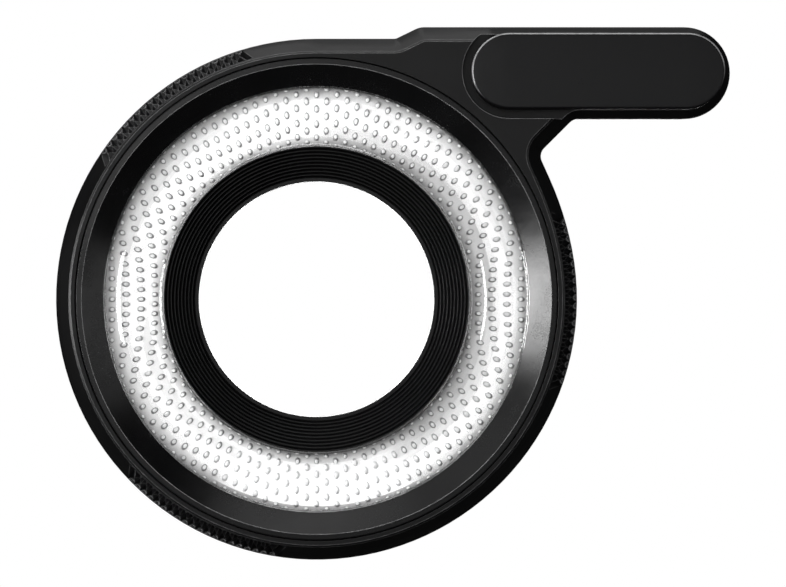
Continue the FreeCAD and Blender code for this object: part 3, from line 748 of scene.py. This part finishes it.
def pad_faces():
    """Both layers and the four walls between them."""
    faces = []
    width = PAD_ACROSS + 1
    layer = (PAD_ALONG + 1) * width

    def wall(first, second, flip):
        quad = (first, layer + first, layer + second, second)
        faces.append(quad[::-1] if flip else quad)

    for i in range(PAD_ALONG):
        for k in range(PAD_ACROSS):
            a = i * width + k
            b = a + 1
            c = a + width
            faces.append((a, c, c + 1, b))
            faces.append((layer + a, layer + b, layer + c + 1, layer + c))
    for i in range(PAD_ALONG):
        for k, flip in ((0, False), (PAD_ACROSS, True)):
            wall(i * width + k, (i + 1) * width + k, flip)
    for k in range(PAD_ACROSS):
        for i, flip in ((0, True), (PAD_ALONG, False)):
            wall(i * width + k, i * width + k + 1, flip)
    return faces


for number, pad_angle in enumerate(PAD_ANGLES):
    pad_name = "foam_pad_" + str(number + 1)
    pad = make_piece(pad_name, pad_points(pad_angle), pad_faces(), [foam], sharp=60.0)
    belongs(pad, "foam_black", "ring_foam_pads")


# Foam sleeve round the light pipe: the frame's own solid with rounded edges

SLEEVE_ROUNDING = 0.06
SLEEVE_SEGMENTS = 2
SLEEVE_ANGLE = 40

sleeve = new_object("pipe_foam_sleeve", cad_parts["pipe_seal"].data.copy())
smooth_with(sleeve.data, foam)
weld(sleeve)
rounding = sleeve.modifiers.new("rounded", "BEVEL")
rounding.width = SLEEVE_ROUNDING * MM
rounding.segments = SLEEVE_SEGMENTS
rounding.limit_method = "ANGLE"
rounding.angle_limit = math.radians(SLEEVE_ANGLE)
belongs(sleeve, "foam_black", "pipe_seal")


# Soft frame round the window. Its section runs from the outer side over the crown to the inner
# side, as shares of half its width, with depths.

WINDOW_X = 31.7
ARM_AXIS = 20.835
GASKET_OUTER = 2.6
GASKET_INNER = 2.05
GASKET_FRONT = 0.5
GASKET_CORNER = 0.45
GASKET_SIDE = [(1.0, GASKET_FRONT), (1.0, 0.16), (0.86, 0.06), (0.55, 0.01)]
CORNER_STEPS = 8


def rounded_square(half, radius):
    """Points round the window, in millimetres."""
    points = []
    for corner, (sx, sz) in enumerate(((1, 1), (-1, 1), (-1, -1), (1, -1))):
        for i in range(CORNER_STEPS + 1):
            a = math.radians(90 * corner + 90 * i / CORNER_STEPS)
            points.append((WINDOW_X + sx * (half - radius) + radius * math.cos(a),
                           ARM_AXIS + sz * (half - radius) + radius * math.sin(a)))
    return points


middle_half = (GASKET_OUTER + GASKET_INNER) / 2
half_width = (GASKET_OUTER - GASKET_INNER) / 2
inner_side = [(-share, depth) for share, depth in reversed(GASKET_SIDE)]
gasket_section = GASKET_SIDE + [(0.0, 0.0)] + inner_side
verts = []
for share, depth in gasket_section:
    outline = rounded_square(middle_half + half_width * share, GASKET_CORNER + half_width * share)
    verts += [point(x, z, depth) for x, z in outline]
faces = closed_grid(len(gasket_section), len(outline))
gasket = make_piece("window_soft_frame", verts, faces, [rubber], sharp=50.0)
belongs(gasket, "rubber_black", "window_gasket")


# Domed soft foot on the arm's back

BUMPER_X = 24.6
FOOT_FRONT = 0.5
FOOT_PROFILE = [(1.5, FOOT_FRONT), (1.5, 0.26), (1.46, 0.15), (1.36, 0.07), (1.2, 0.02),
                (1.0, 0.0), (0.5, 0.0)]
FOOT_SIDES = 64

verts = turned(FOOT_PROFILE, FOOT_SIDES, BUMPER_X, ARM_AXIS)
rear_middle = len(verts)
verts.append(point(BUMPER_X, ARM_AXIS, 0.0))
front_middle = len(verts)
verts.append(point(BUMPER_X, ARM_AXIS, FOOT_FRONT))
count = len(FOOT_PROFILE)
faces = []
for i in range(FOOT_SIDES):
    j = (i + 1) % FOOT_SIDES
    for k in range(count - 1):
        faces.append((i * count + k, i * count + k + 1, j * count + k + 1, j * count + k))
    faces.append((i * count + count - 1, rear_middle, j * count + count - 1))
    faces.append((j * count, front_middle, i * count))
foot = make_piece("arm_soft_foot", verts, faces, [rubber], sharp=50.0)
belongs(foot, "rubber_black", "arm_bumper")


# Floor

FLOOR_RADIUS = 0.23
FLOOR_HEIGHT = -0.045
FLOOR_RINGS = 12
FLOOR_SIDES = 96
FLOOR_DARK = (0.80, 0.80, 0.80)
FLOOR_LIGHT = (0.84, 0.84, 0.84)
FLOOR_UNSEEN = (0.03, 0.03, 0.03, 1)
FLOOR_ROUGHNESS = 0.9
FLOOR_FADE_START = 0.45
FLOOR_FADE_END = 0.98
SPECK_SCALE = 900.0


def disc(radius, height, rings, sides):
    """Flat disc of a middle point and rings of points."""
    verts = [(0.0, 0.0, height)]
    for r in range(1, rings + 1):
        verts += [(radius * r / rings * x, radius * r / rings * y, height) for x, y in circle(sides)]
    faces = [(0, 1 + i, 1 + (i + 1) % sides) for i in range(sides)]
    for r in range(rings - 1):
        low = 1 + r * sides
        for i in range(sides):
            j = (i + 1) % sides
            faces.append((low + i, low + sides + i, low + sides + j, low + j))
    return verts, faces


def floor_material():
    """Pale floor that keeps the object's shadow and fades to the white backdrop at its edge.

    Only the camera sees it pale. For all other rays it is dark, so that it lights nothing."""
    material, tree, shader = new_material("floor_pale")
    coords = object_coords(tree)
    speck = noise(tree, coords, SPECK_SCALE, FINE_DETAIL)
    tree.links.new(ramp(tree, speck, [(NOISE_LOW, FLOOR_DARK), (NOISE_HIGH, FLOOR_LIGHT)]),
                   shader.inputs["Base Color"])
    shader.inputs["Roughness"].default_value = FLOOR_ROUGHNESS
    distance = vector_math(tree, "LENGTH", coords)["Value"]
    fade = smooth_step(tree, distance, FLOOR_RADIUS * FLOOR_FADE_START,
                       FLOOR_RADIUS * FLOOR_FADE_END)
    by_camera = add(tree, "LightPath").outputs["Is Camera Ray"]
    unseen = add(tree, "BsdfDiffuse", Color=FLOOR_UNSEEN)
    pale_or_dark = mix_shaders(tree, by_camera, unseen.outputs[0], shader.outputs[0])
    glow = add(tree, "Emission", Color=WHITE, Strength=1.0)
    to_surface(tree, mix_shaders(tree, product(tree, fade, by_camera), pale_or_dark,
                                 glow.outputs[0]))
    return material


floor_mesh = new_mesh("floor", *disc(FLOOR_RADIUS, FLOOR_HEIGHT, FLOOR_RINGS, FLOOR_SIDES),
                      [floor_material()])
floor = new_object("floor", floor_mesh)


# Lamps, each turned to the frame's origin

def lamp(name, place, size, power):
    data = bpy.data.lights.new(name, "AREA")
    data.shape = "RECTANGLE"
    data.size, data.size_y = size
    data.energy = power
    piece = new_object(name, data)
    piece.location = place
    piece.rotation_euler = (-Vector(place)).to_track_quat("-Z", "Y").to_euler()
    piece.visible_camera = False
    return piece


lamp("lamp_left", place=(-0.309, -0.165, -0.058), size=(0.10, 0.28), power=1.45)
lamp("lamp_top", place=(0.0, -0.045, 0.36), size=(0.34, 0.34), power=0.55)
lamp("lamp_top_behind", place=(0.0, 0.24, 0.30), size=(0.34, 0.2), power=0.10)
lamp("lamp_front", place=(-0.08, -0.44, 0.06), size=(0.13, 0.13), power=0.06)
lamp("lamp_front_wide", place=(0.04, -0.6, -0.06), size=(0.5, 0.46), power=0.23)
lamp("lamp_right", place=(0.33, -0.16, 0.042), size=(0.08, 0.24), power=0.073)
lamp("lamp_upper_left", place=(-0.22, -0.165, 0.22), size=(0.16, 0.16), power=0.05)
lamp("lamp_behind", place=(-0.30, 0.26, -0.06), size=(0.16, 0.26), power=0.004)
lamp("lamp_back", place=(0.0, 0.55, -0.02), size=(0.3, 0.3), power=1.6)
fill = lamp("lamp_fill", place=(-0.1, -0.8, 0.25), size=(0.6, 0.6), power=3.1)
fill.visible_glossy = False


# Backdrop: white for the camera, through clear pieces, and straight behind in reflections

AMBIENT = 0.06
AMBIENT_MIRRORED = 0.015
STRAIGHT_BEHIND = (0.97, 0.995)
HALF_A_BOUNCE = 0.5


def backdrop():
    world = bpy.data.worlds.new("studio")
    scene.world = world
    world.use_nodes = True
    tree = world.node_tree
    background = tree.nodes["Background"]
    background.inputs["Color"].default_value = WHITE
    ray = add(tree, "LightPath").outputs
    direction = split(tree, add(tree, "TexCoord").outputs["Generated"])
    behind = smooth_step(tree, direction["Y"], *STRAIGHT_BEHIND)
    undiffused = calculate(tree, "LESS_THAN", ray["Diffuse Depth"], HALF_A_BOUNCE)
    through = product(tree, ray["Is Transmission Ray"], undiffused)
    mirrored = product(tree, ray["Is Glossy Ray"], behind)
    matt = product(tree, ray["Is Diffuse Ray"], AMBIENT)
    strength = largest(tree, ray["Is Camera Ray"], through, mirrored, matt, AMBIENT_MIRRORED)
    tree.links.new(strength, background.inputs["Strength"])


backdrop()


# Level camera before the front. Its shifts place the part in the picture.

CAMERA_DISTANCE = 0.3551
CAMERA_LENS = 173.96
CAMERA_SENSOR = 36.0
CAMERA_SHIFT_X = 0.0973
CAMERA_SHIFT_Y = 0.0073
CAMERA_NEAR = 0.01

camera_data = bpy.data.cameras.new("camera")
camera = new_object("camera", camera_data)
camera.location = (0.0, -CAMERA_DISTANCE, 0.0)
camera.rotation_euler = (math.radians(90), 0.0, 0.0)
camera_data.lens = CAMERA_LENS
camera_data.sensor_width = CAMERA_SENSOR
camera_data.shift_x = CAMERA_SHIFT_X
camera_data.shift_y = CAMERA_SHIFT_Y
camera_data.clip_start = CAMERA_NEAR
scene.camera = camera
scene.view_settings.view_transform = "Standard"
